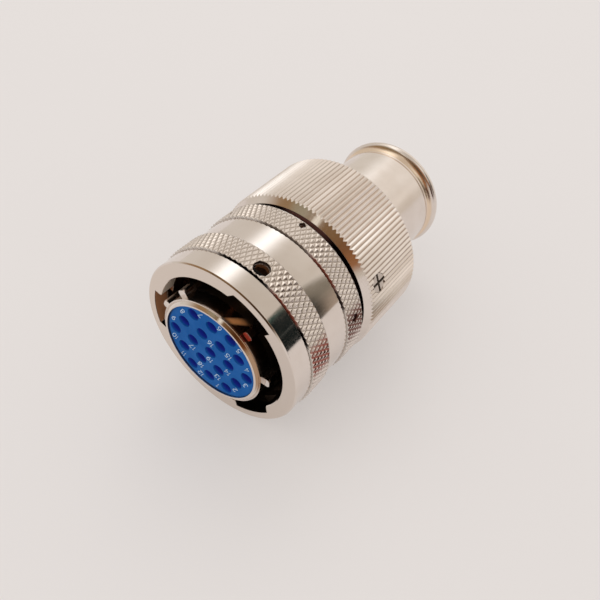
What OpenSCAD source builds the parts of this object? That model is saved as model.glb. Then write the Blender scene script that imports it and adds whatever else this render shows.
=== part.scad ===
// Twist-lock circular plug connector with a keyed barrel, a socket insert, a knurled coupling ring
// and a ribbed backshell. Millimetres. The axis lies along +Y, the mating end faces -Y and +Z is up.
// Angles are seen from the front, from +X to +Z.

/* [Barrel and keys] */
// Wall of the keyed barrel round the insert
barrel_wall = 0.85; // [0.7:0.01:1]
// Width of the flat lip round the insert
rim_lip = 0.26; // [0.16:0.01:0.32]
// Depth of the bevel in the barrel's front rim
rim_bevel = 0.5; // [0.3:0.02:0.7]
// How far the keys stand out from the barrel
key_height = 1.0; // [0.6:0.05:1.2]
// Width of the four small keys
key_w = 1.4; // [1.2:0.05:1.7]
// Bevel along the outer edges of the keys
key_bevel = 0.25; // [0.15:0.05:0.4]
// Width of the main key
main_key_w = 2.1; // [1.8:0.05:2.4]
// Distance from the barrel's front to the front of the keys
key_setback = 1.05; // [0.8:0.05:1.4]
// Distance from the rear of the keys to the barrel seal
key_gap = 0.25; // [0.1:0.05:2]
// Angle of the main key
main_key_angle = 260.5; // [0:0.5:360]
// Wall of the rear sleeve that carries the backshell
sleeve_wall = 0.8; // [0.7:0.05:1]
// How far the rear sleeve reaches into the backshell
sleeve_reach = 7.67; // [7.2:0.01:8.2]

/* [Inserts and contacts] */
// Distance from the outer contacts' axes to the edge of the front insert
insert_edge = 1.41; // [1.3:0.01:1.6]
// How much wider the rear insert is than the front insert, on each side
insert_step_w = 0.4; // [0.3:0.02:0.5]
// How far the insert's face sits behind the barrel's lip
insert_recess = 0.24; // [0.1:0.01:0.4]
// Length of the front insert
front_insert_len = 10.8; // [10.4:0.1:11]
// Length of the rear insert
rear_insert_len = 7.6; // [7:0.1:8]
// Distance between neighbouring contacts
contact_pitch = 3.32; // [3.1:0.02:3.4]
// Angle of the contact array
array_angle = 50.5; // [0:0.5:360]
// Diameter of a socket hole at the insert's face
entry_d = 2.0; // [1.7:0.05:2.2]
// Depth of the tapered part of a socket hole
entry_depth = 1.4; // [0.8:0.1:2]
// Diameter of a contact
contact_d = 1.44; // [1.3:0.02:1.5]
// Diameter of the shoulder that holds a contact between the inserts
shoulder_d = 2.16; // [1.9:0.02:2.3]
// Thickness of a contact's shoulder
shoulder_t = 0.9; // [0.7:0.05:1.1]
// Bore of a socket contact
socket_bore_d = 1.02; // [0.9:0.02:1.06]
// Depth of a socket contact's bore
socket_depth = 6; // [5:0.1:7]
// Distance from the insert's face to the contacts
contact_recess = 3.1; // [2.5:0.1:4]
// How far the solder cups stand out behind the rear insert
cup_len = 4; // [3.2:0.1:5]
// Depth of a solder cup
cup_depth = 2.6; // [2:0.1:3]
// Length of the open side of a solder cup
cup_open = 1.8; // [1.4:0.1:2]
// Thickness of the snap ring that holds the inserts
snap_t = 0.8; // [0.6:0.05:1]
// How far the snap ring reaches in from the sleeve's bore
snap_reach = 0.9; // [0.7:0.05:1.1]
// Depth of the snap ring's groove
snap_groove = 0.3; // [0.2:0.02:0.4]
// Gap between the snap ring's ends
snap_gap = 3.2; // [2:0.1:4]

/* [Coupling ring] */
// Distance from the barrel's front to the front of the coupling ring
ring_front = 2; // [1.6:0.1:2.4]
// Wall between the bayonet tracks and the knurl sleeves
track_wall = 0.91; // [0.8:0.01:1.1]
// Depth of the seats that hold the knurl sleeves, below the smooth bands
knurl_seat = 0.4; // [0.3:0.02:0.5]
// How far the diamonds stand out from the smooth bands
knurl_height = 0.35; // [0.28:0.01:0.45]
// Depth of the crossed grooves between the diamonds
knurl_depth = 0.23; // [0.15:0.01:0.27]
// Bevel round the ring's front edge
ring_bevel = 0.2; // [0.1:0.02:0.3]
// Distance from the ring's front to the front knurl
front_band_w = 3.38; // [3:0.02:3.6]
// Width of the front knurl
front_knurl_w = 4.13; // [3.8:0.01:4.4]
// Width of the rear knurl
rear_knurl_w = 3.9; // [3.6:0.01:4.2]
// Diamonds round a knurl
knurl_count = 98; // [90:1:104]
// Half rows of diamonds across a knurl
knurl_rows = 5; // [4:1:7]
// Plain edge behind the last row of a knurl
knurl_edge = 0.12; // [0.08:0.01:0.2]
// Width of the relief groove in front of a knurl
knurl_relief = 0.2; // [0.1:0.02:0.3]
// Room for the mating shell between the keys and the ring's mouth
mouth_gap = 1.47; // [1.35:0.01:1.6]
// Depth of the bayonet tracks from the mouth's wall
track_depth = 1.17; // [0.9:0.01:1.2]
// Width of the bayonet tracks
track_w = 2.5; // [2.2:0.05:2.6]
// Depth of the open part of a bayonet entry from the ring's front
entry_reach = 2.6; // [1.6:0.1:2.8]
// Angle of the middle of a bayonet entry
entry_angle = 58; // [0:0.5:360]
// Turn from a bayonet entry to its locked end
lock_turn = 107; // [100:0.5:110]
// Diameter of the holes that show the locked pins
view_hole_d = 2.45; // [2:0.05:2.6]
// Distance from the front knurl's edge to the middle of the tracks
track_place = 1.7; // [1.6:0.05:1.9]
// Wall between the tracks and the ring's bearing
track_rear_wall = 1.27; // [1.1:0.01:1.5]
// Diameter of the retainer's pin holes
pin_hole_d = 1.25; // [1:0.05:1.4]
// Distance from the retainer's rear to its pins
pin_inset = 1.31; // [1.2:0.01:1.5]
// Angle of the first retainer pin
pin_angle = 9.5; // [0:0.5:30]
// Diameter of the spanner holes in the rear knurl
spanner_hole_d = 1.0; // [0.8:0.05:1.1]
// Depth of the spanner holes below the knurl's seat
spanner_depth = 0.9; // [0.5:0.05:1]
// Distance from the ring's rear to the spanner holes
spanner_inset = 0.64; // [0.62:0.02:1]
// Angle of the first spanner hole
spanner_angle = 75; // [60:0.5:90]

/* [Ring bearing] */
// Gap between the flange and the ring that turns on it
flange_clearance = 0.06; // [0.05:0.01:0.1]
// Wall of the ring between its bearing and the knurl seats
ring_wall = 1.35; // [1.2:0.05:1.45]
// Length of the barrel seal
seal_len = 1.15; // [1:0.05:1.3]
// Gap between the barrel seal and the ring's wall
seal_gap = 0.5; // [0.4:0.02:0.6]
// Thickness of the shell's flange
flange_w = 1.85; // [1.6:0.05:1.9]
// Space for the wave spring
spring_space = 1.8; // [1.7:0.05:1.9]
// Thickness of the wave spring's strip
spring_t = 0.35; // [0.25:0.05:0.45]
// Thickness of the thrust washer
washer_t = 0.7; // [0.6:0.05:0.75]
// Thickness of the ring retainer
retainer_t = 3.4; // [3.2:0.05:3.8]
// Distance from the retainer to the ring's rear end
retainer_recess = 0.45; // [0.3:0.01:0.8]
// How deep the pins reach into the retainer
pin_reach = 1.45; // [1.2:0.05:1.6]

/* [Backshell] */
// Gap between the coupling ring and the backshell
shell_gap = 1.33; // [1.1:0.01:1.6]
// Diameter over the backshell's ribs
rib_d = 29.2; // [28.8:0.1:29.6]
// Depth of the grooves between the ribs
rib_depth = 0.25; // [0.18:0.01:0.3]
// Number of ribs
rib_count = 120; // [108:1:124]
// Thickness of the backshell's end wall
nut_end_wall = 3.93; // [3.6:0.01:4.4]
// Width of the bevel at the backshell's front
nut_bevel_w = 1.0; // [0.8:0.05:1.2]
// Length of the bevel at the backshell's front
nut_bevel = 1.25; // [1:0.05:1.5]
// How far the backshell's chamber reaches in front of the sleeve's end
nut_relief = 1.5; // [1.2:0.05:1.7]
// Width of the slots in the lock screws
screw_slot = 0.46; // [0.4:0.02:0.6]
// How far the lock screws sit below the ribs
screw_sink = 0.2; // [0.1:0.05:0.4]
// Depth of the slots in the lock screws
screw_slot_depth = 1.1; // [0.8:0.05:1.3]
// Diameter of the lock screws
screw_d = 3; // [2.5:0.1:3.2]
// Angle of the first lock screw
screw_angle = 17.5; // [0:0.5:60]
// Distance from the backshell's front to the lock screws
screw_place = 3.35; // [3:0.05:3.7]

/* [Cable outlet] */
// Outside diameter of the outlet tube
tube_d = 18.66; // [18.4:0.02:18.9]
// Wall of the outlet tube
tube_wall = 1.13; // [1:0.01:1.3]
// How far the outlet's lip stands out from the tube
lip_height = 0.82; // [0.7:0.01:0.95]
// Radius of the lip's rounding
lip_round = 0.85; // [0.7:0.05:0.9]
// Radius of the hollow in front of the lip
lip_fillet = 1.3; // [1.1:0.1:1.7]
// How far the hollow dips below the tube
lip_dip = 0.12; // [0.06:0.01:0.2]
// Distance from the barrel's front to the end of the outlet
overall_len = 49.8; // [49:0.1:51]
// Thickness of the outlet gasket
gasket_t = 0.6; // [0.5:0.05:0.8]
// Thickness of the outlet tube's inner flange
tube_flange_t = 1.4; // [1.2:0.05:1.6]
// How far the inner flange stands out from the tube
tube_flange_w = 2.2; // [2:0.05:2.5]

/* [Hidden] */
$fn = 72;
nickel = [0.80, 0.77, 0.72];
blue = [0.10, 0.36, 0.66];
gold = [0.83, 0.64, 0.25];
rubber = [0.07, 0.07, 0.07];
steel = [0.62, 0.60, 0.56];

// Gap between pieces that sit in one another and stay put
seat = 0.05;
// Gap between pieces that move past one another
loose = 0.2;

insert_r = 2 * contact_pitch + insert_edge;
bore_r = insert_r + seat;
barrel_r = bore_r + barrel_wall;
key_r = barrel_r + key_height;
sleeve_bore_r = bore_r + insert_step_w;
sleeve_r = sleeve_bore_r + sleeve_wall;
key_turns = [0, 105, 140, 215, 265];

insert_front = insert_recess;
insert_step = insert_front + front_insert_len - 1;
insert_join = insert_front + front_insert_len;
insert_rear = insert_join + rear_insert_len;
insert_flange_r = sleeve_bore_r - seat;
snap_front = insert_rear + seat;
snap_groove_r = sleeve_bore_r + snap_groove;
contact_front = insert_front + contact_recess;
contact_rear = insert_rear + cup_len;
contact_hole_d = contact_d + 0.12;

mouth_r = key_r + mouth_gap;
track_r = mouth_r + track_depth;
seat_r = track_r + track_wall;
band_r = seat_r + knurl_seat;
knurl_r = band_r + knurl_height;
cavity_r = seat_r - ring_wall;
front_knurl_front = ring_front + front_band_w;
front_knurl_rear = front_knurl_front + front_knurl_w;
track_middle = front_knurl_front + track_place;
track_front = track_middle - track_w / 2;
track_rear = track_middle + track_w / 2;
ring_step = track_rear + track_rear_wall;

flange_front = ring_step + 0.15;
flange_rear = flange_front + flange_w;
flange_r = cavity_r - flange_clearance;
washer_front = flange_rear + spring_space;
washer_rear = washer_front + washer_t;
retainer_front = washer_rear + seat;
retainer_rear = retainer_front + retainer_t;
retainer_bore_r = sleeve_r + loose;
ring_rear = retainer_rear + retainer_recess;
rear_knurl_front = ring_rear - rear_knurl_w;
pin_place = retainer_rear - pin_inset;
spanner_place = ring_rear - spanner_inset;
pin_d = pin_hole_d - seat;
seal_front = flange_front - seal_len;
seal_r = mouth_r - seal_gap;
key_rear = seal_front - key_gap;

nut_front = ring_rear + shell_gap;
sleeve_end = nut_front + sleeve_reach;
rib_r = rib_d / 2;
gasket_rear = sleeve_end + gasket_t;
tube_r = tube_d / 2;
tube_bore_r = tube_r - tube_wall;
tube_flange_r = tube_r + tube_flange_w;
tube_flange_rear = gasket_rear + tube_flange_t;
nut_cavity_front = sleeve_end - nut_relief;
nut_wall_front = tube_flange_rear + seat;
nut_rear = nut_wall_front + nut_end_wall;
nut_face_r = rib_r - nut_bevel_w;
screw_y = nut_front + screw_place;
lip_r = tube_r + lip_height;
bead_r = lip_r - lip_round;
bead_y = overall_len - lip_round;
fillet_r = tube_r + lip_fillet - lip_dip;
fillet_y = bead_y - sqrt(pow(lip_round + lip_fillet - 0.005, 2) - pow(fillet_r - bead_r, 2));

function two_digits(n) = str(n < 10 ? "0" : "", n);
function contact_name(n) = str("contact_", two_digits(n));
function contact_radius(n) =
    n == 19 ? 0 : n > 12 ? contact_pitch : n % 2 == 1 ? 2 * contact_pitch : sqrt(3) * contact_pitch;
function contact_turn(n) = array_angle + 210 + (n > 12 ? 60 * (n - 13) + 30 : 30 * n);
function polar(r, a) = [r * cos(a), -r * sin(a)];

// Stands what is drawn along local Z onto the connector's axis
module along_axis() {
    rotate([-90, 0, 0]) children();
}

// Turns what is drawn at local +X to an angle seen from the front
module turned(a) {
    rotate([0, 0, -a]) children();
}

// A round bar that points outwards at one angle and one place along the axis
module radial_bar(a, y, r_in, r_out, d) {
    turned(a) translate([r_in, 0, y]) rotate([0, 90, 0]) cylinder(h = r_out - r_in, d = d);
}

// A plain ring between two radii and two places along the axis
module plain_ring(r_in, r_out, y_front, y_rear) {
    rotate_extrude() translate([r_in, y_front]) square([r_out - r_in, y_rear - y_front]);
}

module at_contact(n) {
    place = polar(contact_radius(n), contact_turn(n));
    translate([place[0], place[1], 0]) children();
}

module plug_shell() {
    color(nickel) along_axis() union() {
        rotate_extrude() polygon([
            [bore_r, 0], [bore_r + rim_lip, 0], [barrel_r - 0.22, rim_bevel],
            [barrel_r - 0.1, rim_bevel - 0.16], [barrel_r, rim_bevel - 0.1],
            [barrel_r, flange_front], [flange_r, flange_front], [flange_r, flange_rear],
            [sleeve_r, flange_rear], [sleeve_r, sleeve_end], [sleeve_bore_r, sleeve_end],
            [sleeve_bore_r, snap_front + snap_t + seat], [snap_groove_r, snap_front + snap_t + seat],
            [snap_groove_r, snap_front - seat], [sleeve_bore_r, snap_front - seat],
            [sleeve_bore_r, insert_step - seat], [bore_r, insert_step - seat]
        ]);
        for (k = [0:4]) {
            w = k == 0 ? main_key_w : key_w;
            turned(main_key_angle - key_turns[k])
                translate([0, 0, key_setback]) linear_extrude(key_rear - key_setback) polygon([
                    [bore_r + barrel_wall / 2, -w / 2], [key_r - key_bevel, -w / 2],
                    [key_r, -w / 2 + key_bevel], [key_r, w / 2 - key_bevel],
                    [key_r - key_bevel, w / 2], [bore_r + barrel_wall / 2, w / 2]
                ]);
        }
    }
}

module front_insert() {
    color(blue) along_axis() difference() {
        union() {
            plain_ring(0, insert_r, insert_front, insert_join);
            plain_ring(0, insert_flange_r, insert_step, insert_join);
        }
        for (n = [1:19]) at_contact(n) {
            translate([0, 0, insert_front - 1]) cylinder(h = front_insert_len + 2, d = contact_hole_d);
            translate([0, 0, insert_front - 0.01])
                cylinder(h = entry_depth, d1 = entry_d, d2 = contact_hole_d);
        }
    }
}

module rear_insert() {
    color(blue) along_axis() difference() {
        plain_ring(0, insert_flange_r, insert_join + 0.01, insert_rear);
        for (n = [1:19]) at_contact(n) {
            translate([0, 0, insert_join - 1]) cylinder(h = rear_insert_len + 2, d = contact_hole_d);
            translate([0, 0, insert_join - 1]) cylinder(h = shoulder_t + 1.04, d = shoulder_d + 0.1);
        }
    }
}

module socket_contact(n) {
    color(gold) along_axis() at_contact(n) difference() {
        union() {
            translate([0, 0, contact_front]) cylinder(h = contact_rear - contact_front, d = contact_d);
            translate([0, 0, insert_join + 0.03]) cylinder(h = shoulder_t, d = shoulder_d);
        }
        translate([0, 0, contact_front - 1]) cylinder(h = socket_depth + 1, d = socket_bore_d);
        translate([0, 0, contact_rear - cup_depth]) cylinder(h = cup_depth + 1, d = socket_bore_d);
        translate([0, -contact_d, contact_rear - cup_open]) cube([contact_d, 2 * contact_d, cup_open + 1]);
    }
}

module insert_snap_ring() {
    color(steel) along_axis() difference() {
        plain_ring(sleeve_bore_r - snap_reach, snap_groove_r - seat, snap_front, snap_front + snap_t);
        turned(main_key_angle) translate([sleeve_bore_r / 2, -snap_gap / 2, snap_front - 1])
            cube([sleeve_bore_r, snap_gap, snap_t + 2]);
    }
}

module barrel_seal() {
    color(rubber) along_axis() rotate_extrude() polygon([
        [barrel_r + 0.03, seal_front + seal_len * 0.1], [barrel_r + (seal_r - barrel_r) * 0.25, seal_front],
        [barrel_r + (seal_r - barrel_r) * 0.85, seal_front + seal_len * 0.35],
        [seal_r, seal_front + seal_len * 0.7],
        [seal_r, flange_front - 0.03], [barrel_r + 0.03, flange_front - 0.03]
    ]);
}

// A flat strip bent into three waves, with its low points on the flange and its high points at the washer
module wave_spring() {
    steps = 48;
    r_in = retainer_bore_r + 0.15;
    r_out = flange_r - 0.4;
    rise = (spring_space - spring_t) / 2 - seat;
    middle = flange_rear + spring_space / 2;
    points = [
        for (m = [0:steps - 1])
            let (a = 360 * m / steps, y = middle + rise * cos(3 * a))
                each [
                    [r_in * cos(a), r_in * sin(a), y - spring_t / 2],
                    [r_out * cos(a), r_out * sin(a), y - spring_t / 2],
                    [r_out * cos(a), r_out * sin(a), y + spring_t / 2],
                    [r_in * cos(a), r_in * sin(a), y + spring_t / 2]
                ]
    ];
    faces = [
        for (m = [0:steps - 1])
            for (k = [0:3])
                let (p = 4 * m + k, q = 4 * m + (k + 1) % 4)
                    let (pn = (p + 4) % (4 * steps), qn = (q + 4) % (4 * steps))
                        each [[p, q, qn], [p, qn, pn]]
    ];
    color(steel) along_axis() polyhedron(points, faces);
}

module thrust_washer() {
    color(steel) along_axis() plain_ring(retainer_bore_r - 0.05, cavity_r - 0.15, washer_front, washer_rear);
}

// One bayonet entry, as an outline seen along the axis
module entry_outline() {
    intersection() {
        circle(r = track_r);
        polygon([
            polar(mouth_r - 2, entry_angle - 17.5), polar(track_r + 2, entry_angle - 17.5),
            polar(track_r + 2, entry_angle + 8), polar(mouth_r, entry_angle + 18.5),
            polar(mouth_r - 2, entry_angle + 22)
        ]);
    }
}

// The lead-in from a bayonet entry to the level part of its track
module lead_in() {
    stops = [[-5, 0.6], [-7, 1.75], [-11, 2.75], [-16, 3.35], [-21.5, track_front - ring_front]];
    last = len(stops) - 1;
    points = [
        for (s = stops)
            let (a = entry_angle + s[0], front = ring_front + s[1], rear = track_rear - 0.06)
                each [
                    [(mouth_r - 0.6) * cos(a), -(mouth_r - 0.6) * sin(a), front],
                    [(track_r - 0.01) * cos(a), -(track_r - 0.01) * sin(a), front],
                    [(track_r - 0.01) * cos(a), -(track_r - 0.01) * sin(a), rear],
                    [(mouth_r - 0.6) * cos(a), -(mouth_r - 0.6) * sin(a), rear]
                ]
    ];
    faces = concat(
        [[3, 2, 1, 0], [4 * last, 4 * last + 1, 4 * last + 2, 4 * last + 3]],
        [
            for (m = [0:last - 1])
                for (k = [0:3])
                    let (p = 4 * m + k, q = 4 * m + (k + 1) % 4)
                        each [[p, q, q + 4], [p, q + 4, p + 4]]
        ]
    );
    polyhedron(points, faces);
}

// Everything that is cut away for one bayonet track
module track_cut() {
    translate([0, 0, ring_front - 1]) linear_extrude(entry_reach + 1) entry_outline();
    turned(entry_angle + 3) translate([0, 0, ring_front + 1])
        rotate_extrude(angle = 9) translate([mouth_r - 0.6, 0])
            square([track_depth + 0.57, track_rear - ring_front - 1.2]);
    lead_in();
    turned(entry_angle - 20.5) translate([0, 0, track_front])
        rotate_extrude(angle = lock_turn - 20.5 + 6) translate([mouth_r - 0.6, 0])
            square([track_depth + 0.6, track_w]);
}

module coupling_ring() {
    color(nickel) along_axis() difference() {
        rotate_extrude() polygon([
            [mouth_r + 0.15, ring_front], [band_r - ring_bevel, ring_front],
            [band_r, ring_front + ring_bevel],
            [band_r, front_knurl_front], [seat_r, front_knurl_front], [seat_r, front_knurl_rear],
            [band_r, front_knurl_rear], [band_r, rear_knurl_front], [seat_r, rear_knurl_front],
            [seat_r, ring_rear], [cavity_r, ring_rear], [cavity_r, ring_step], [mouth_r, ring_step],
            [mouth_r, ring_front + 0.15]
        ]);
        for (k = [0:2]) turned(120 * k) {
            track_cut();
            radial_bar(entry_angle - lock_turn, track_middle, mouth_r - 1, knurl_r + 1, view_hole_d);
            radial_bar(pin_angle, pin_place, cavity_r - 1, knurl_r + 1, pin_hole_d);
            radial_bar(spanner_angle, spanner_place, seat_r - spanner_depth, knurl_r + 1, spanner_hole_d);
        }
    }
}

// A sleeve whose outside is a grid of four-sided points between crossed grooves, with a plain rear edge
module diamond_sleeve(y_front, y_rear) {
    around = 2 * knurl_count;
    rows = knurl_rows + 1;
    base = (rows + 1) * around;
    row_step = (y_rear - knurl_edge - y_front) / knurl_rows;
    points = concat(
        [
            for (n = [0:rows])
                for (m = [0:around - 1])
                    let (a = 360 * m / around, sink = n == rows ? 0.5 : (m + n) % 2)
                        let (r = knurl_r - sink * knurl_depth)
                            let (y = n == rows ? y_rear : y_front + row_step * n)
                                [r * cos(a), r * sin(a), y]
        ],
        [
            for (y = [y_front, y_rear])
                for (m = [0:around - 1])
                    let (a = 360 * m / around) [(seat_r + seat) * cos(a), (seat_r + seat) * sin(a), y]
        ]
    );
    outside = [
        for (n = [0:rows - 1])
            for (m = [0:around - 1])
                let (p = n * around + m, q = n * around + (m + 1) % around)
                    each (m + n) % 2 == 0
                        ? [[p, p + around, q], [q + around, q, p + around]]
                        : [[p, p + around, q + around], [p, q + around, q]]
    ];
    inside_and_ends = [
        for (m = [0:around - 1])
            let (next = (m + 1) % around, p = base + m, q = base + next, top = rows * around)
                each [
                    [p, q, q + around, p + around],
                    [m, next, q, p],
                    [top + m, p + around, q + around, top + next]
                ]
    ];
    polyhedron(points, concat(outside, inside_and_ends));
}

module knurl_front() {
    color(nickel) along_axis() difference() {
        diamond_sleeve(front_knurl_front + knurl_relief, front_knurl_rear);
        for (k = [0:2])
            radial_bar(entry_angle - lock_turn + 120 * k, track_middle, seat_r - 1, knurl_r + 1, view_hole_d);
    }
}

module knurl_rear() {
    color(nickel) along_axis() difference() {
        diamond_sleeve(rear_knurl_front + knurl_relief, ring_rear);
        for (k = [0:2]) {
            radial_bar(pin_angle + 120 * k, pin_place, seat_r - 1, knurl_r + 1, pin_hole_d);
            radial_bar(spanner_angle + 120 * k, spanner_place, seat_r - 1, knurl_r + 1, spanner_hole_d);
        }
    }
}

module ring_retainer() {
    color(nickel) along_axis() difference() {
        rotate_extrude() polygon([
            [retainer_bore_r, retainer_front], [cavity_r - 0.02, retainer_front],
            [cavity_r - 0.02, retainer_rear - 0.3],
            [cavity_r - 0.3, retainer_rear], [retainer_bore_r, retainer_rear]
        ]);
        for (k = [0:2])
            radial_bar(pin_angle + 120 * k, pin_place, cavity_r - pin_reach - seat, cavity_r + 1, pin_hole_d);
    }
}

module retainer_pin(k) {
    color(steel) along_axis()
        radial_bar(pin_angle + 120 * k, pin_place, cavity_r - pin_reach, band_r - 0.1, pin_d);
}

// The ribbed outline of the backshell, with sharp ribs
module rib_outline() {
    step = 360 / rib_count;
    low = rib_r - rib_depth;
    polygon([
        for (m = [0:rib_count - 1])
            each [
                polar(low, step * (m - 0.45)), polar(rib_r, step * (m - 0.05)),
                polar(rib_r, step * (m + 0.05)), polar(low, step * (m + 0.45))
            ]
    ]);
}

module backshell_nut() {
    color(nickel) along_axis() difference() {
        intersection() {
            translate([0, 0, nut_front]) linear_extrude(nut_rear - nut_front) rib_outline();
            rotate_extrude() polygon([
                [0, nut_front], [nut_face_r, nut_front], [rib_r + 0.1, nut_front + nut_bevel],
                [rib_r + 0.1, nut_rear - 0.3], [rib_r - rib_depth - 0.1, nut_rear], [0, nut_rear]
            ]);
        }
        rotate_extrude() polygon([
            [0, nut_front - 1], [sleeve_r + 0.02, nut_front - 1], [sleeve_r + 0.02, nut_cavity_front],
            [tube_flange_r + 0.1, nut_cavity_front], [tube_flange_r + 0.1, nut_wall_front],
            [tube_r + seat, nut_wall_front], [tube_r + seat, nut_rear + 1], [0, nut_rear + 1]
        ]);
        for (k = [0:1])
            radial_bar(screw_angle + 180 * k, screw_y, sleeve_r - 1, rib_r + 1, screw_d);
    }
}

module lock_screw(k) {
    color(steel) along_axis() difference() {
        radial_bar(screw_angle + 180 * k, screw_y, sleeve_r + 0.04, rib_r - screw_sink, screw_d - 0.06);
        turned(screw_angle + 180 * k) translate([rib_r - screw_sink - screw_slot_depth, 0, screw_y]) {
            translate([0, -screw_slot / 2, -screw_d]) cube([screw_slot_depth + 1, screw_slot, 2 * screw_d]);
            translate([0, -screw_d, -screw_slot / 2]) cube([screw_slot_depth + 1, 2 * screw_d, screw_slot]);
        }
    }
}

module outlet_gasket() {
    color(rubber) along_axis()
        plain_ring(sleeve_bore_r + 0.1, sleeve_r, sleeve_end + 0.01, gasket_rear - 0.01);
}

module outlet_tube() {
    color(nickel) along_axis() rotate_extrude() difference() {
        union() {
            translate([tube_bore_r, gasket_rear]) square([tube_flange_r - tube_bore_r, tube_flange_t]);
            translate([tube_bore_r, bead_y]) square([bead_r - tube_bore_r, lip_round]);
            difference() {
                union() {
                    translate([tube_bore_r, gasket_rear])
                        square([tube_r - tube_bore_r, bead_y - gasket_rear]);
                    polygon([
                        [tube_r - 0.4, fillet_y], [fillet_r, fillet_y],
                        [bead_r, bead_y], [tube_r - 0.4, bead_y]
                    ]);
                    translate([bead_r, bead_y]) circle(r = lip_round);
                }
                translate([fillet_r, fillet_y]) circle(r = lip_fillet);
            }
        }
        polygon([
            [tube_bore_r - 1, overall_len + 0.1], [tube_bore_r - 1, overall_len - 0.5],
            [tube_bore_r, overall_len - 0.5], [tube_bore_r + 0.6, overall_len + 0.1]
        ]);
    }
}

plug_shell();
front_insert();
rear_insert();
for (n = [1:19])
    socket_contact(n);
insert_snap_ring();
barrel_seal();
wave_spring();
thrust_washer();
coupling_ring();
knurl_front();
knurl_rear();
ring_retainer();
for (k = [0:2])
    retainer_pin(k);
backshell_nut();
for (k = [0:1])
    lock_screw(k);
outlet_gasket();
outlet_tube();
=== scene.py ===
import math
import bpy
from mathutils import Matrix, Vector


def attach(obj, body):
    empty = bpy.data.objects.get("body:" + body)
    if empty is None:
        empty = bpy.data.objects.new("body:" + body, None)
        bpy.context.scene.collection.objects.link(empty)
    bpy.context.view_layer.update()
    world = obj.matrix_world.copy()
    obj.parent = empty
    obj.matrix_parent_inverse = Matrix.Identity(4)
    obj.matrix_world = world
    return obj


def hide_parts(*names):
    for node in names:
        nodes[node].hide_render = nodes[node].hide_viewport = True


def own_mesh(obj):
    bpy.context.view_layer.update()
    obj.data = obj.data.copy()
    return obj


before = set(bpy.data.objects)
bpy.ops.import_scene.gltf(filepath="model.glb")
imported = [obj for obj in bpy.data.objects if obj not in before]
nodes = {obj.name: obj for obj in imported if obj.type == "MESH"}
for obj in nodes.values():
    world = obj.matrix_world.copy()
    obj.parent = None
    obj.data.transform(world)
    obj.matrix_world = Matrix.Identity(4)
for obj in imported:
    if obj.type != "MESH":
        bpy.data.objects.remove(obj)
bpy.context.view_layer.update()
scene = bpy.context.scene
mm = 0.001  # the frame is in metres, the connector's sizes are in millimetres
grainSpread = (0.3, 0.7)  # where most values of a noise pattern lie
print("frame loaded:", len(nodes), "nodes")


# small helpers for shader trees

def addNode(tree, kind, **settings):
    node = tree.nodes.new(kind)
    for key, value in settings.items():
        setattr(node, key, value)
    return node


def feed(tree, socket, value):
    if isinstance(value, bpy.types.NodeSocket):
        tree.links.new(value, socket)
    else:
        socket.default_value = value


def calc(tree, operation, first, second=None, third=None):
    node = addNode(tree, "ShaderNodeMath", operation=operation)
    for socket, value in zip(node.inputs, (first, second, third)):
        if value is not None:
            feed(tree, socket, value)
    return node.outputs[0]


def ramp(tree, value, low, high, toLow=0.0, toHigh=1.0):
    node = addNode(tree, "ShaderNodeMapRange", interpolation_type="SMOOTHSTEP")
    ends = (("Value", value), ("From Min", low), ("From Max", high), ("To Min", toLow), ("To Max", toHigh))
    for name, item in ends:
        feed(tree, node.inputs[name], item)
    return node.outputs["Result"]


def stretch(tree, value, rise, fall):  # one between the end of the rise and the start of the fall
    return calc(tree, "MULTIPLY", ramp(tree, value, *rise), ramp(tree, value, *fall, 1.0, 0.0))


def mixColor(tree, factor, first, second, blend="MIX"):
    node = addNode(tree, "ShaderNodeMix", data_type="RGBA", blend_type=blend)
    feed(tree, node.inputs[0], factor)
    feed(tree, node.inputs[6], first if isinstance(first, bpy.types.NodeSocket) else (*first, 1.0))
    feed(tree, node.inputs[7], second if isinstance(second, bpy.types.NodeSocket) else (*second, 1.0))
    return node.outputs[2]


def mixValue(tree, factor, first, second):
    node = addNode(tree, "ShaderNodeMix", data_type="FLOAT")
    for socket, value in zip((node.inputs[0], node.inputs[2], node.inputs[3]), (factor, first, second)):
        feed(tree, socket, value)
    return node.outputs[0]


def scaledVector(tree, *measures):  # from three measures, each with its factor
    node = addNode(tree, "ShaderNodeCombineXYZ")
    for socket, (value, factor) in zip(node.inputs, measures):
        feed(tree, socket, calc(tree, "MULTIPLY", value, factor))
    return node.outputs[0]


def splitVector(tree, vector):
    node = addNode(tree, "ShaderNodeSeparateXYZ")
    tree.links.new(vector, node.inputs[0])
    return node.outputs


def degreesAround(tree, x, y):  # azimuth from +X to +Y
    return calc(tree, "MULTIPLY", calc(tree, "ARCTAN2", y, x), 180.0 / math.pi)


def noise(tree, vector, scale=1.0, detail=2.0):
    node = addNode(tree, "ShaderNodeTexNoise")
    feed(tree, node.inputs["Vector"], vector)
    node.inputs["Scale"].default_value = scale
    node.inputs["Detail"].default_value = detail
    return node.outputs["Fac"]


def startMaterial(name):
    material = bpy.data.materials.new(name)
    material.use_nodes = True
    tree = material.node_tree
    tree.nodes.clear()
    out = addNode(tree, "ShaderNodeOutputMaterial")
    shader = addNode(tree, "ShaderNodeBsdfPrincipled")
    tree.links.new(shader.outputs[0], out.inputs[0])
    return material, tree, shader


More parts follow.
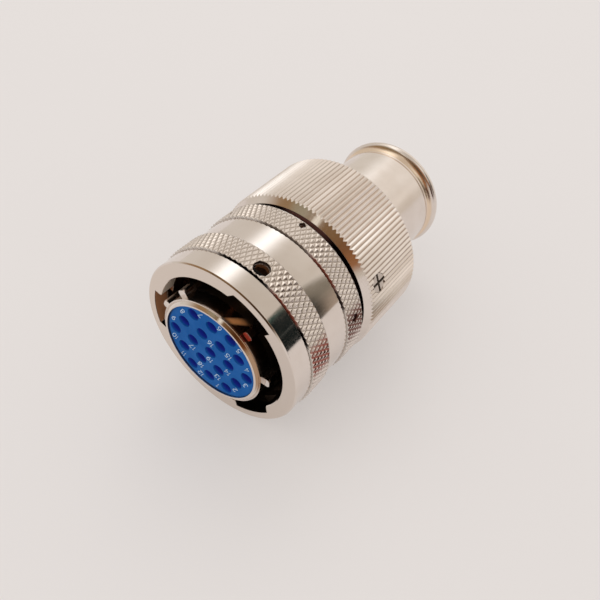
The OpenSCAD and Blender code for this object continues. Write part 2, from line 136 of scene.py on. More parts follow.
def roundCoords(tree):  # place in millimetres: along the axis, out from it, and the angle round it
    coord = addNode(tree, "ShaderNodeTexCoord")
    scaled = addNode(tree, "ShaderNodeVectorMath", operation="SCALE")
    tree.links.new(coord.outputs["Object"], scaled.inputs[0])
    scaled.inputs["Scale"].default_value = 1.0 / mm
    x, y, z = splitVector(tree, scaled.outputs[0])
    squares = calc(tree, "ADD", calc(tree, "MULTIPLY", x, x), calc(tree, "MULTIPLY", z, z))
    return {"place": scaled.outputs[0], "y": y, "radius": calc(tree, "SQRT", squares),
            "angle": calc(tree, "ARCTAN2", z, x)}


def bumpFrom(tree, shader, height, distance, edge=0.0):
    node = addNode(tree, "ShaderNodeBump")
    node.inputs["Distance"].default_value = distance
    feed(tree, node.inputs["Height"], height)
    if edge:  # edges worn a little round, so that they catch the light
        soft = addNode(tree, "ShaderNodeBevel", samples=6)
        soft.inputs["Radius"].default_value = edge
        tree.links.new(soft.outputs["Normal"], node.inputs["Normal"])
    tree.links.new(node.outputs["Normal"], shader.inputs["Normal"])


# camera at the photograph's place
cameraView = {"place": (0.04608, -0.04104, 0.06812), "toward": (-0.4279, 0.5829, -0.6907),
              "lens": 38.47, "sensor": 36.0, "nearest": 0.002, "farthest": 20.0}

cameraData = bpy.data.cameras.new("camera")
cameraData.lens = cameraView["lens"]
cameraData.sensor_width = cameraView["sensor"]
cameraData.clip_start = cameraView["nearest"]
cameraData.clip_end = cameraView["farthest"]
camera = bpy.data.objects.new("camera", cameraData)
camera.location = cameraView["place"]
camera.rotation_mode = "QUATERNION"
camera.rotation_quaternion = Vector(cameraView["toward"]).to_track_quat("-Z", "Y")
scene.collection.objects.link(camera)
scene.camera = camera
print("camera set")


# bright warm nickel, turned on a lathe
nickelFinish = {
    "color": (0.80, 0.725, 0.67), "shade": (0.77, 0.69, 0.63), "patches": 0.3, "patchSpread": (0.35, 0.7),
    "rough": (0.08, 0.13), "edge": 0.06e-3, "lines": 9.0, "lineTurn": 3.0, "lineDetail": 3.0,
    "lineDepth": 0.5e-6, "lineShare": 0.4, "streaks": 60.0, "streakAlong": 0.35,
}
knurlFinish = {"rough": (0.19, 0.26), "edge": 0.14e-3}  # what differs on some pieces
ribFinish = {"rough": (0.10, 0.16), "edge": 0.05e-3}
tubeFinish = {"rough": (0.19, 0.25)}
screwFinish = {"rough": (0.16, 0.24)}


def zoneWeight(tree, at, zone):  # along the axis, out from it and round it, each with soft ends
    weight = 1.0
    limits = (("from", "y", 0.0, 1.0), ("until", "y", 1.0, 0.0), ("outside", "radius", 0.0, 1.0),
              ("inside", "radius", 1.0, 0.0))
    for key, measure, before, after in limits:
        if key in zone:
            weight = calc(tree, "MULTIPLY", weight, ramp(tree, at[measure], *zone[key], before, after))
    if zone.get("round"):
        middle, reach, fade = (math.radians(part) for part in zone["round"])
        lean = math.radians(zone.get("lean", 0.0))  # turn for each millimetre along the axis
        turned = calc(tree, "SUBTRACT", at["angle"], calc(tree, "MULTIPLY_ADD", at["y"], lean, middle))
        around = ramp(tree, calc(tree, "COSINE", turned), math.cos(reach + fade), math.cos(reach - fade))
        weight = calc(tree, "MULTIPLY", weight, around)
    return weight


def makeNickel(name, zones, **changes):
    look = {**nickelFinish, **changes}
    material, tree, shader = startMaterial(name)
    at = roundCoords(tree)
    patches = noise(tree, at["place"], look["patches"])
    color = mixColor(tree, ramp(tree, patches, *look["patchSpread"]), look["color"], look["shade"])
    lineVector = scaledVector(tree, (at["radius"], look["lines"]), (at["y"], look["lines"]),
                              (at["angle"], look["lineTurn"]))
    lines = noise(tree, lineVector, detail=look["lineDetail"])
    streaks = noise(tree, scaledVector(tree, (at["angle"], look["streaks"]), (at["y"], look["streakAlong"]),
                                       (at["radius"], look["streakAlong"])))
    grain = mixValue(tree, look["lineShare"], streaks, lines)
    roughness = ramp(tree, grain, *grainSpread, *look["rough"])
    plain = 0.0
    for zone in zones:
        inside = zoneWeight(tree, at, zone)
        color = mixColor(tree, inside, color, zone["color"])
        roughness = calc(tree, "ADD", roughness, calc(tree, "MULTIPLY", inside, zone["rough"]))
        plain = mixValue(tree, inside, plain, zone.get("plain", 0.0))
    feed(tree, shader.inputs["Base Color"], color)
    feed(tree, shader.inputs["Metallic"], calc(tree, "SUBTRACT", 1.0, plain))
    feed(tree, shader.inputs["Roughness"], roughness)
    bumpFrom(tree, shader, grain, look["lineDepth"], look["edge"])
    return material


# painted shade, painted light and painted reflections, with a few plain tints, in millimetres and degrees
frontReliefPaintedLight = (  # painted shade and painted reflections round the relief groove in front of each knurl, over a pale base: where, colour, how plain
    (None, (0.80, 0.73, 0.67), 0.8), ((78, 17, 5), (0.02, 0.012, 0.01), 0.0),
    ((46, 12, 5), (0.30, 0.085, 0.05), 0.6), ((27, 6, 3), (0.03, 0.02, 0.02), 0.0),
)
# the same painted shade and painted reflections, lighter, round the rear knurl's relief groove
rearReliefPaintedLight = (
    (None, (0.80, 0.73, 0.67), 0.8), ((78, 17, 5), (0.26, 0.20, 0.16), 0.6),
    ((46, 12, 5), (0.30, 0.085, 0.05), 0.6), ((27, 6, 3), (0.09, 0.06, 0.05), 0.3),
)


def reliefZones(shades, limits):
    return [{**limits, "round": around, "color": color, "plain": plain, "rough": 0.1}
            for around, color, plain in shades]


# coupling ring
trackWall = {"outside": (12.40, 12.50), "inside": (12.66, 12.76)}
# painted light: a brown tint on the notch floors inside the ring
notchFloorLight = {"from": (3.4, 4.4), "inside": (12.7, 12.8), "color": (0.52, 0.35, 0.24), "rough": 0.10}
# painted shade: the inside of the ring darkened
ringInsideShade = {"from": (4.75, 5.1), "inside": (12.62, 12.72), "color": (0.12, 0.06, 0.035), "rough": 0.25}
# painted light: a dull brown glow in the upper notch
upperNotchLight = {**trackWall, "from": (2.03, 2.15), "until": (3.2, 3.8), "round": (58, 25, 5),
              "color": (0.26, 0.11, 0.05), "rough": 0.3, "plain": 0.8}
# painted shade deep in the upper notch
notchDeepShade = {**trackWall, "from": (3.5, 3.8), "until": (4.7, 5.0), "round": (58, 27, 5),
             "color": (0.05, 0.03, 0.02), "rough": 0.2}
# painted light: a dull brown glow in the left notch
leftNotchLight = {**trackWall, "from": (2.03, 2.15), "until": (4.3, 4.6), "round": (178, 25, 5),
             "color": (0.54, 0.25, 0.12), "rough": 0.3, "plain": 0.8}
# painted light: the shaded upper left wall of the mouth made pale and dull
leftWall = {"from": (2.03, 2.15), "until": (4.5, 4.7), "inside": (11.46, 11.52), "round": (150, 14, 5),
            "color": (0.95, 0.80, 0.66), "rough": 0.2, "plain": 0.9}
# painted shade over the lower inside of the ring
lowerShade = {"from": (2.1, 2.3), "inside": (12.70, 12.80), "round": (-40, 52, 8),
             "color": (0.05, 0.035, 0.025), "rough": 0.2}
# painted light: a brown glow on the walls of the view hole
viewHoleGlow = {"from": (7.3, 7.6), "until": (9.2, 9.4), "outside": (12.6, 12.7), "inside": (13.2, 13.6),
            "color": (0.32, 0.13, 0.055), "rough": 0.2, "plain": 0.6}
ringFace = {"until": (2.005, 2.03), "color": (0.755, 0.665, 0.59), "rough": 0.0}
frontGroove = {"from": (5.2, 5.3), "until": (5.7, 5.8), "outside": (13.2, 13.3), "inside": (13.6, 13.8)}
rearGroove = {**frontGroove, "from": (13.9, 14.0), "until": (14.42, 14.52)}
bandZones = [ringFace, notchFloorLight, ringInsideShade, lowerShade, upperNotchLight, notchDeepShade, leftNotchLight, leftWall,
             viewHoleGlow, *reliefZones(frontReliefPaintedLight, frontGroove), *reliefZones(rearReliefPaintedLight, rearGroove)]
nickelBand = makeNickel("nickelBand", bandZones)

# keyed barrel
# painted shade on the barrel's side behind the rim
barrelWallShade = {"from": (0.5, 0.7), "inside": (9.0, 9.1), "round": (55, 45, 20),
              "color": (0.12, 0.065, 0.04), "rough": 0.1}
barrelGlow = {"from": (0.4, 1.2), "until": (1.8, 3.8), "inside": (9.0, 9.1), "round": (70.2, 3.3, 2.5),
              "lean": -5.9, "color": (0.58, 0.24, 0.08), "rough": 0.3, "plain": 0.7}
# painted reflection: the rim's chamfer tinted brown
barrelRimReflection = {"from": (0.03, 0.09), "until": (0.5, 0.6), "round": (24, 38, 10),
             "color": (0.46, 0.30, 0.19), "rough": 0.0}
# painted shade deeper inside the barrel
barrelDeepShade = {"from": (2.4, 3.2), "color": (0.12, 0.08, 0.05), "rough": 0.2}
# painted shade on the marked key behind its front
keySideShade = {"from": (1.08, 1.2), "outside": (9.3, 9.5), "round": (45.5, 7, 2),
           "color": (0.08, 0.06, 0.05), "rough": 0.1}
nickelBarrel = makeNickel("nickelBarrel", (barrelWallShade, barrelGlow, barrelRimReflection, barrelDeepShade, keySideShade))

# knurls
# painted shade in the knurls' groove bottoms
grooveShade = {"inside": (14.03, 14.11), "color": (0.50, 0.43, 0.37), "rough": 0.10}
# painted red-brown reflection and painted shade on the front knurl's low facets
frontKnurlReflection = {"inside": (14.08, 14.16), "round": (7, 9, 5), "color": (0.38, 0.13, 0.10), "rough": 0.0}
# painted red-brown reflection on the rear knurl's low facets
rearKnurlReflection = {"inside": (14.08, 14.16), "round": (5, 10, 5), "color": (0.20, 0.085, 0.065), "rough": 0.0}
frontZones = [grooveShade, frontKnurlReflection, *reliefZones(frontReliefPaintedLight, {"until": (5.60, 5.72)})]
rearZones = [grooveShade, rearKnurlReflection, *reliefZones(rearReliefPaintedLight, {"until": (14.32, 14.44)})]
nickelKnurlFront = makeNickel("nickelKnurlFront", frontZones, **knurlFinish)
nickelKnurlRear = makeNickel("nickelKnurlRear", rearZones, **knurlFinish)

# backshell nut, outlet tube and small pieces
nutFront = {"until": (19.4, 20.4), "inside": (13.5, 13.6)}
# painted shade in the bottoms of the rib grooves
ribGrooveShade = {"from": (20.5, 20.9), "inside": (14.35, 14.40), "color": (0.48, 0.39, 0.32), "rough": 0.10}
# painted shade on the nut's front face in the gap
nutFaceShade = {**nutFront, "color": (0.10, 0.05, 0.045), "rough": 0.2}
# painted shade and painted brownish-red reflection in the gap before the nut
nutGapShade = {**nutFront, "round": (76, 15, 8), "color": (0.24, 0.10, 0.08), "rough": 0.2, "plain": 0.7}
# painted reflection: a golden-brown tint in the hollow of the tube's lip
lipHollowReflection = {"from": (47.2, 47.4), "until": (48.0, 48.3), "color": (0.82, 0.66, 0.51), "rough": 0.02}
# the whole screw a little darker than the nut
screwDarkerTone = {"color": (0.58, 0.51, 0.45), "rough": 0.0}
# painted shade in the screw's slot
screwSlotShade = {"inside": (14.26, 14.36), "color": (0.16, 0.12, 0.09), "rough": 0.2, "plain": 0.8}
# painted shade: the retainer pins dark, as deep in their holes
pinShade = {"color": (0.06, 0.022, 0.02), "rough": 0.2, "plain": 0.5}
# painted shade: the retainer inside the ring dark all over
retainerShade = {"color": (0.12, 0.08, 0.06), "rough": 0.25}
nickelRibs = makeNickel("nickelRibs", (ribGrooveShade, nutFaceShade, nutGapShade), **ribFinish)
nickelTube = makeNickel("nickelTube", (lipHollowReflection,), **tubeFinish)
nickelScrew = makeNickel("nickelScrew", (screwDarkerTone, screwSlotShade), **screwFinish)
nickelPin = makeNickel("nickelPin", (pinShade,))
nickelInner = makeNickel("nickelInner", (retainerShade,))


def makeGrained(name, look):  # two close colours mixed by one fine grain
    material, tree, shader = startMaterial(name)
    grain = noise(tree, roundCoords(tree)["place"], *look["grain"])
    mixed = ramp(tree, grain, *look["spread"]) if "spread" in look else grain
    feed(tree, shader.inputs["Base Color"], mixColor(tree, mixed, look["color"], look["shade"]))
    feed(tree, shader.inputs["Metallic"], look.get("metal", 0.0))
    feed(tree, shader.inputs["Roughness"], ramp(tree, grain, *grainSpread, *look["rough"]))
    feed(tree, shader.inputs["Specular IOR Level"], look.get("shine", 0.5))
    bumpFrom(tree, shader, grain, look["depth"])
    return material


# grey spring steel of the hidden small parts
steelFinish = {"color": (0.42, 0.40, 0.37), "shade": (0.30, 0.28, 0.26), "rough": (0.25, 0.4), "metal": 1.0,
               "grain": (4.0, 4.0), "spread": (0.35, 0.65), "depth": 1e-6}
steel = makeGrained("springSteel", steelFinish)

# gold plate of the socket contacts
goldFinish = {"color": (0.86, 0.62, 0.22), "shade": (0.70, 0.47, 0.15), "rough": (0.2, 0.32), "metal": 1.0,
              "grain": (2.5, 3.0), "spread": (0.35, 0.65), "depth": 1e-6}
gold = makeGrained("contactGold", goldFinish)

# black seal rubber
rubberFinish = {"color": (0.010, 0.010, 0.010), "shade": (0.020, 0.018, 0.016), "rough": (0.55, 0.75),
                "grain": (9.0, 4.0), "depth": 4e-6}
rubber = makeGrained("sealRubber", rubberFinish)

# red paint of the index mark
paintFinish = {"color": (0.33, 0.036, 0.018), "shade": (0.22, 0.022, 0.011), "rough": (0.3, 0.45),
               "grain": (3.0, 3.0), "spread": (0.3, 0.7), "depth": 8e-6, "shine": 0.15}
paint = makeGrained("markPaint", paintFinish)

# pale ink of the contact numbers
inkFinish = {"color": (0.72, 0.85, 0.95), "shade": (0.50, 0.68, 0.86), "rough": (0.4, 0.6),
             "grain": (3.5, 3.0), "spread": (0.35, 0.7), "depth": 3e-6}
ink = makeGrained("numberInk", inkFinish)

# moulded blue insert, with painted shade down its holes and along its low edge
blueFinish = {
    "color": (0.005, 0.095, 0.345), "pale": (0.013, 0.118, 0.395), "deep": (0.018, 0.035, 0.37),
    "face": 0.24, "holeFrom": 0.02, "holeDepth": 0.5, "rough": (0.30, 0.40), "shine": 0.03, "clouds": 0.28,
    "grain": (14.0, 3.0), "depth": 2e-6,
    "edge": {"outside": (7.72, 7.98), "round": (218, 70, 22)}, "edgeShade": (0.004, 0.020, 0.075),
}
blue, tree, shader = startMaterial("insertBlue")
at = roundCoords(tree)
cloud = noise(tree, at["place"], blueFinish["clouds"])
skin = noise(tree, at["place"], *blueFinish["grain"])
faceColor = mixColor(tree, ramp(tree, cloud, *grainSpread), blueFinish["color"], blueFinish["pale"])
shaded = zoneWeight(tree, at, blueFinish["edge"])  # painted shade, where the side of the recess keeps light off the low edge
faceColor = mixColor(tree, shaded, faceColor, blueFinish["edgeShade"])
deepness = ramp(tree, at["y"], blueFinish["face"] + blueFinish["holeFrom"],
                blueFinish["face"] + blueFinish["holeDepth"])
feed(tree, shader.inputs["Base Color"], mixColor(tree, deepness, faceColor, blueFinish["deep"]))
feed(tree, shader.inputs["Roughness"], ramp(tree, skin, *grainSpread, *blueFinish["rough"]))
shader.inputs["Specular IOR Level"].default_value = blueFinish["shine"]
bumpFrom(tree, shader, skin, blueFinish["depth"])
print("materials made")


# finish of each solid
finishes = {
    "plug_shell": nickelBarrel, "coupling_ring": nickelBand, "ring_retainer": nickelInner,
    "backshell_nut": nickelRibs, "knurl_front": nickelKnurlFront, "knurl_rear": nickelKnurlRear,
    "outlet_tube": nickelTube, "lock_screw_1": nickelScrew, "lock_screw_2": nickelScrew,
    "front_insert": blue, "rear_insert": blue, "barrel_seal": rubber, "outlet_gasket": rubber,
}


def finishOf(name):
    if name.startswith("contact_"):
        return gold
    if name.startswith("retainer_pin_"):
        return nickelPin
    return finishes.get(name, steel)


for name, node in nodes.items():
    node.data.materials.clear()
    node.data.materials.append(finishOf(name))
print("solids finished")


# contact numbers, drawn with single strokes
numbers = {
    "height": 1.05, "width": 0.52, "oneWidth": 0.24, "spacing": 0.2, "stroke": 0.047, "face": 0.24,
    "lift": 0.012, "pitch": 3.32, "arrayAngle": 50.5, "firstTurn": 210, "outerCount": 12, "middle": 19,
    "places": {  # along the text and up it, from each hole's middle
        (0.86, 1.70): (1, 12), (-0.85, 1.50): (2, 3, 13, 14, 17, 18, 19), (-1.80, -0.10): (4, 5, 15, 16),
        (-0.70, -1.50): (6, 7), (1.25, -1.55): (8, 9), (1.90, 0.20): (10, 11),
    },
}


def arc(cx, cy, rx, ry, start, end, steps=14):
    turns = [math.radians(start + (end - start) * k / steps) for k in range(steps + 1)]
    return [(cx + rx * math.cos(t), cy + ry * math.sin(t)) for t in turns]


digitStrokes = {  # in a square one wide and one high
    "0": [arc(0.5, 0.5, 0.5, 0.5, 90, 450, 24)],
    "1": [[(0.0, 0.78), (0.8, 1.0), (0.8, 0.0)]],
    "2": [arc(0.5, 0.72, 0.46, 0.28, 165, -35) + [(0.04, 0.0), (1.0, 0.0)]],
    "3": [arc(0.46, 0.75, 0.42, 0.25, 150, -80), arc(0.46, 0.27, 0.5, 0.27, 85, -150)],
    "4": [[(0.78, 0.0), (0.78, 1.0), (0.0, 0.28), (1.0, 0.28)]],
    "5": [[(0.9, 1.0), (0.16, 1.0), (0.1, 0.54)] + arc(0.48, 0.33, 0.5, 0.33, 120, -150)],
    "6": [arc(0.5, 0.3, 0.46, 0.3, 180, 540, 20), arc(0.86, 0.3, 0.82, 0.7, 180, 100, 10)],
    "7": [[(0.0, 1.0), (1.0, 1.0), (0.35, 0.0)]],
    "8": [arc(0.5, 0.75, 0.38, 0.25, 90, 450, 18), arc(0.5, 0.26, 0.47, 0.26, 90, 450, 20)],
    "9": [arc(0.5, 0.7, 0.46, 0.3, 0, 360, 20), arc(0.14, 0.7, 0.82, 0.7, 0, -80, 10)],
}


def contactPlace(number):  # a hexagon of twelve, a ring of six inside it, and one in the middle
    pitch = numbers["pitch"]
    if number == numbers["middle"]:
        return 0.0, 0.0
    if number > numbers["outerCount"]:
        out, turn = pitch, 60 * (number - numbers["outerCount"] - 1) + 30
    else:
        out, turn = pitch * (2 if number % 2 else math.sqrt(3)), 30 * number
    turn = math.radians(numbers["arrayAngle"] + numbers["firstTurn"] + turn)
    return out * math.cos(turn), out * math.sin(turn)


def digitWidth(digit):
    return numbers["oneWidth"] if digit == "1" else numbers["width"]


numberCurve = bpy.data.curves.new("contactNumbers", "CURVE")
numberCurve.dimensions = "3D"
numberCurve.bevel_depth = numbers["stroke"] * mm
numberCurve.bevel_resolution = 1
numberCurve.use_fill_caps = True
textTurn = math.radians(numbers["arrayAngle"] + 90)
along = (math.cos(textTurn), math.sin(textTurn))
upward = (-math.sin(textTurn), math.cos(textTurn))
numberLevel = (numbers["face"] - numbers["lift"]) * mm
for (shiftAlong, shiftUp), group in numbers["places"].items():
    for number in group:
        digits = str(number)
        full = sum(digitWidth(digit) for digit in digits) + (len(digits) - 1) * numbers["spacing"]
        left = shiftAlong - full / 2
        x0, z0 = contactPlace(number)
        for digit in digits:
            for stroke in digitStrokes[digit]:
                spline = numberCurve.splines.new("POLY")
                spline.points.add(len(stroke) - 1)
                for point, (u, v) in zip(spline.points, stroke):
                    a = left + u * digitWidth(digit)
                    b = shiftUp + (v - 0.5) * numbers["height"]
                    point.co = ((x0 + along[0] * a + upward[0] * b) * mm, numberLevel,
                                (z0 + along[1] * a + upward[1] * b) * mm, 1.0)
            left += digitWidth(digit) + numbers["spacing"]
numberPiece = bpy.data.objects.new("contact_numbers", numberCurve)
numberPiece.data.materials.append(ink)
scene.collection.objects.link(numberPiece)
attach(numberPiece, "plug")
print("contact numbers drawn")


# red index mark on the front of one key, thin and a little domed
mark = {"angle": 45.5, "inner": 9.0, "outer": 9.93, "width": 1.36, "corner": 0.3,
        "front": 1.05, "sunk": 0.01, "thick": 0.02, "dome": 0.05, "inset": 0.16}


def roundedOutline(low, high, half, corner, steps=5):
    corners = ((high - corner, half - corner, 0), (low + corner, half - corner, 90),
               (low + corner, -half + corner, 180), (high - corner, -half + corner, 270))
    points = []
    for cx, cy, start in corners:
        points += arc(cx, cy, corner, corner, start, start + 90, steps)
    return points


turn = math.radians(mark["angle"])
levels = ((0.0, mark["front"] + mark["sunk"]), (0.0, mark["front"] - mark["thick"]),
          (mark["inset"], mark["front"] - mark["dome"]))
verts = []
for inset, level in levels:
    outline = roundedOutline(mark["inner"] + inset, mark["outer"] - inset, mark["width"] / 2 - inset,
                             mark["corner"] - inset / 2)
    for out, side in outline:
        verts.append(((out * math.cos(turn) - side * math.sin(turn)) * mm, level * mm,
                      (out * math.sin(turn) + side * math.cos(turn)) * mm))
count = len(outline)
faces = [tuple(range(count)), tuple(range(3 * count - 1, 2 * count - 1, -1))]
for low in (0, count):
    for k in range(count):
        after = (k + 1) % count
        faces.append((low + k, low + k + count, low + after + count, low + after))
markMesh = bpy.data.meshes.new("indexMark")
markMesh.from_pydata(verts, [], faces)
markMesh.update()
markPiece = bpy.data.objects.new("index_mark", markMesh)
markPiece.data.materials.append(paint)
scene.collection.objects.link(markPiece)
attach(markPiece, "plug")
print("index mark painted")


# wave spring (the real one flattens as the ring is pulled forward), copied into a piece of its own on the
# plug, its shape unchanged
springPiece = bpy.data.objects.new("pressed_spring", nodes["wave_spring"].data.copy())
scene.collection.objects.link(springPiece)
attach(springPiece, "plug")
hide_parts("wave_spring")
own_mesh(springPiece)


# pale floor, which keeps the shadow and partly glows for the camera and in reflections
stage = {
    "floorHeight": -14.6, "floorSize": 6.0, "floorColor": (0.80, 0.763, 0.747), "floorGlow": 0.48,
    "background": (0.755, 0.712, 0.688),
    "paper": (40.0, 3.0), "paperShade": 0.985, "paperRough": 0.9, "paperShine": 0.1,
}

floorMesh = bpy.data.meshes.new("floor")
half = stage["floorSize"] / 2
level = stage["floorHeight"] * mm
corners = [(-half, -half, level), (half, -half, level), (half, half, level), (-half, half, level)]
floorMesh.from_pydata(corners, [], [(0, 1, 2, 3)])
floor = bpy.data.objects.new("floor", floorMesh)
scene.collection.objects.link(floor)
floorPaint, tree, shader = startMaterial("floorPaper")
coord = addNode(tree, "ShaderNodeTexCoord")
paper = noise(tree, coord.outputs["Object"], *stage["paper"])
darker = tuple(part * stage["paperShade"] for part in stage["floorColor"])
feed(tree, shader.inputs["Base Color"], mixColor(tree, paper, stage["floorColor"], darker))
shader.inputs["Roughness"].default_value = stage["paperRough"]
shader.inputs["Specular IOR Level"].default_value = stage["paperShine"]
rays = addNode(tree, "ShaderNodeLightPath")
paleGlow = addNode(tree, "ShaderNodeEmission")
feed(tree, paleGlow.inputs["Color"], (*stage["background"], 1.0))
seenFloor = addNode(tree, "ShaderNodeMixShader")
seenBy = calc(tree, "MAXIMUM", rays.outputs["Is Camera Ray"], rays.outputs["Is Glossy Ray"])
feed(tree, seenFloor.inputs[0], calc(tree, "MULTIPLY", seenBy, stage["floorGlow"]))
tree.links.new(shader.outputs[0], seenFloor.inputs[1])
tree.links.new(paleGlow.outputs[0], seenFloor.inputs[2])
tree.links.new(seenFloor.outputs[0], tree.nodes["Material Output"].inputs[0])
floorMesh.materials.append(floorPaint)
print("floor laid")


# room that only reflections show, with azimuths in degrees and heights as the sine of the elevation
room = {
    "dome": (0.93, 0.91, 0.89),  # plain light from all sides, in place of the room, for dull surfaces
    "wall": (0.64, 0.59, 0.525), "leftWall": (0.70, 0.655, 0.60), "left": (-0.55, -0.30),
    "backWall": (0.95, 0.90, 0.84), "back": (0.57, 0.72),
    "backRight": (0.70, 0.63, 0.555), "rightFrom": (0.35, 0.58),
    "backLeft": (0.76, 0.715, 0.65), "leftTo": (-0.36, -0.16),
    "top": (0.62, 0.575, 0.525), "topLeft": (1.25, 1.2, 1.15), "topTurn": (-0.28, 0.02),
    "topHeights": (0.86, 0.93),
    "glows": (  # toward, narrowness and colour: the soft lamp and three paler windows
        ((-0.333, 0.575, 0.747), 55.0, (0.90, 0.98, 1.06)), ((-0.45, 0.14, 0.88), 30.0, (0.55, 0.53, 0.50)),
        ((0.644, 0.061, 0.764), 60.0, (0.50, 0.50, 0.50)), ((0.61, 0.71, 0.34), 100.0, (0.30, 0.31, 0.32)),
    ),
}
belt = {  # brown band round the front half of the room
    "start": (0.32, 0.20, 0.10), "startHigh": (0.34, 0.30, 0.21), "highFrom": (0.68, 0.76),
    "colors": (((-115, -95), (0.22, 0.125, 0.055)), ((-62, -45), (0.34, 0.145, 0.055)),
               ((-28, -8), (0.13, 0.07, 0.05))),
    "from": (-168, -146), "to": (26, 38), "low": (0.04, 0.24), "high": (0.78, 0.86),
    "highRight": (0.28, 0.40), "rightTurn": (-40, -8),
    "foot": (0.45, 0.68), "footShade": 0.25, "footFrom": (-136, -124), "footTo": (-60, -35),
    "gap": (0.95, 0.90, 0.80), "gapFrom": (-98, -94), "gapTo": (-86, -82), "gapLow": (0.66, 0.76),
}

world = bpy.data.worlds.new("studio")
scene.world = world
world.use_nodes = True
tree = world.node_tree
tree.nodes.clear()
worldOut = addNode(tree, "ShaderNodeOutputWorld")
direction = addNode(tree, "ShaderNodeTexCoord").outputs["Generated"]
x, y, z = splitVector(tree, direction)
azimuth = degreesAround(tree, x, y)
sky = mixColor(tree, ramp(tree, x, *room["left"]), room["leftWall"], room["wall"])
backColor = mixColor(tree, ramp(tree, x, *room["rightFrom"]), room["backWall"], room["backRight"])
backColor = mixColor(tree, ramp(tree, x, *room["leftTo"]), room["backLeft"], backColor)
sky = mixColor(tree, ramp(tree, y, *room["back"]), sky, backColor)

beltColor = mixColor(tree, ramp(tree, z, *belt["highFrom"]), belt["start"], belt["startHigh"])
for reach, nextColor in belt["colors"]:
    beltColor = mixColor(tree, ramp(tree, azimuth, *reach), beltColor, nextColor)
footWeight = calc(tree, "MULTIPLY", ramp(tree, z, *belt["foot"], 1.0, 0.0),
                  stretch(tree, azimuth, belt["footFrom"], belt["footTo"]))
footDark = calc(tree, "MULTIPLY", footWeight, 1.0 - belt["footShade"])
beltColor = mixColor(tree, footDark, beltColor, (0.0, 0.0, 0.0))
highEnds = [ramp(tree, azimuth, *belt["rightTurn"], high, right)
            for high, right in zip(belt["high"], belt["highRight"])]
beltTall = stretch(tree, z, belt["low"], highEnds)
beltWide = stretch(tree, azimuth, belt["from"], belt["to"])
sky = mixColor(tree, calc(tree, "MULTIPLY", beltTall, beltWide), sky, beltColor)
gapWide = stretch(tree, azimuth, belt["gapFrom"], belt["gapTo"])
sky = mixColor(tree, calc(tree, "MULTIPLY", gapWide, ramp(tree, z, *belt["gapLow"])), sky, belt["gap"])

topColor = mixColor(tree, ramp(tree, x, *room["topTurn"]), room["topLeft"], room["top"])
sky = mixColor(tree, ramp(tree, z, *room["topHeights"]), sky, topColor)
for toward, narrowness, glowColor in room["glows"]:
    facing = addNode(tree, "ShaderNodeVectorMath", operation="DOT_PRODUCT")
    tree.links.new(direction, facing.inputs[0])
    facing.inputs[1].default_value = Vector(toward).normalized()
    lobe = calc(tree, "POWER", calc(tree, "MAXIMUM", facing.outputs["Value"], 0.0), narrowness)
    sky = mixColor(tree, lobe, sky, mixColor(tree, 1.0, sky, glowColor, "ADD"))
rays = addNode(tree, "ShaderNodeLightPath")
seen = mixColor(tree, rays.outputs["Is Glossy Ray"], room["dome"], sky)
seen = mixColor(tree, rays.outputs["Is Camera Ray"], seen, stage["background"])
glow = addNode(tree, "ShaderNodeBackground")
feed(tree, glow.inputs["Color"], seen)
tree.links.new(glow.outputs[0], worldOut.inputs[0])
print("room painted")


# soft lamp, high up behind the part
softLamp = {"toward": (-0.333, 0.575, 0.747), "far": 0.9, "size": 0.54, "power": 0.97}

lampDirection = Vector(softLamp["toward"]).normalized()
lampData = bpy.data.lights.new("softbox", "AREA")
lampData.shape = "DISK"
lampData.size = softLamp["size"]
lampData.energy = softLamp["power"]
lamp = bpy.data.objects.new("softbox", lampData)
lamp.location = lampDirection * softLamp["far"]
lamp.rotation_mode = "QUATERNION"
lamp.rotation_quaternion = (-lampDirection).to_track_quat("-Z", "Y")
lamp.visible_glossy = False
scene.collection.objects.link(lamp)
print("lamp hung")


# two cards that only reflections show, with azimuths in degrees and heights in metres
darkCard = {
    "near": 0.18, "angles": (26.0, 46.0), "bottom": -0.008, "top": 0.122, "dark": (0.007, 0.011, 0.011),
    "upper": (0.040, 0.085, 0.075), "upperFrom": (0.095, 0.118),
    "mid": (0.25, 0.22, 0.175), "midLow": (0.42, 0.34, 0.27), "lowTo": (0.01, 0.06),
    "midFrom": (36.2, 38.2), "midLean": 25.0,
    "pale": (0.70, 0.655, 0.59), "paleFrom": (43.0, 45.8),
    "line": (0.12, 0.13, 0.12), "lineAt": 0.0445, "lineEdge": (0.0004, 0.0016),
}
brownCard = {
    "near": 0.13, "angles": (-14.0, 17.0), "bottom": -0.0145, "top": 0.036, "fade": (-0.012, 0.004),
    "low": (0.10, 0.030, 0.022), "high": (0.055, 0.026, 0.020),
}


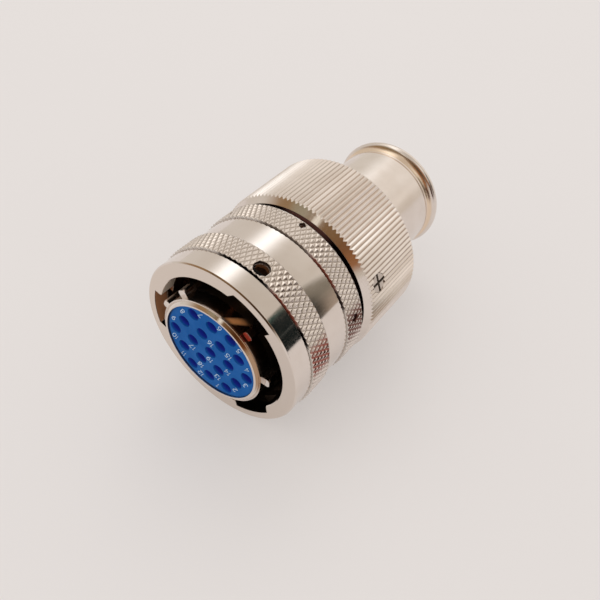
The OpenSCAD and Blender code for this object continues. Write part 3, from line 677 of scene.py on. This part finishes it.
def startCard(name):
    material, tree, shader = startMaterial(name)
    tree.nodes.remove(shader)
    glow = addNode(tree, "ShaderNodeEmission")
    tree.links.new(glow.outputs[0], tree.nodes["Material Output"].inputs[0])
    x, y, z = splitVector(tree, addNode(tree, "ShaderNodeTexCoord").outputs["Object"])
    return material, tree, glow, degreesAround(tree, x, y), z


def placeCard(name, values, finish, steps=16):  # bent round the part
    mesh = bpy.data.meshes.new(name)
    first, last = values["angles"]
    points = []
    sides = []
    for k in range(steps + 1):
        t = math.radians(first + (last - first) * k / steps)
        for height in (values["bottom"], values["top"]):
            points.append((values["near"] * math.cos(t), values["near"] * math.sin(t), height))
        if k:
            sides.append((2 * k - 2, 2 * k, 2 * k + 1, 2 * k - 1))
    mesh.from_pydata(points, [], sides)
    mesh.materials.append(finish)
    piece = bpy.data.objects.new(name, mesh)
    piece.visible_camera = False
    piece.visible_diffuse = False
    piece.visible_shadow = False
    scene.collection.objects.link(piece)


darkPaint, tree, darkGlow, degrees, z = startCard("cardDark")
cardColor = mixColor(tree, ramp(tree, z, *darkCard["upperFrom"]), darkCard["dark"], darkCard["upper"])
lineOff = calc(tree, "ABSOLUTE", calc(tree, "SUBTRACT", z, darkCard["lineAt"]))
lineWeight = ramp(tree, lineOff, *darkCard["lineEdge"], 1.0, 0.0)
cardColor = mixColor(tree, lineWeight, cardColor, darkCard["line"])
midColor = mixColor(tree, ramp(tree, z, *darkCard["lowTo"]), darkCard["midLow"], darkCard["mid"])
leaning = calc(tree, "SUBTRACT", degrees, calc(tree, "MULTIPLY", z, darkCard["midLean"]))
cardColor = mixColor(tree, ramp(tree, leaning, *darkCard["midFrom"]), cardColor, midColor)
cardColor = mixColor(tree, ramp(tree, degrees, *darkCard["paleFrom"]), cardColor, darkCard["pale"])
feed(tree, darkGlow.inputs["Color"], cardColor)
placeCard("dark_card", darkCard, darkPaint)

brownPaint, tree, brownGlow, degrees, z = startCard("cardBrown")
brownColor = mixColor(tree, ramp(tree, z, *brownCard["fade"]), brownCard["low"], brownCard["high"])
feed(tree, brownGlow.inputs["Color"], brownColor)
placeCard("brown_card", brownCard, brownPaint)
print("cards placed")


scene.view_settings.view_transform = "Standard"
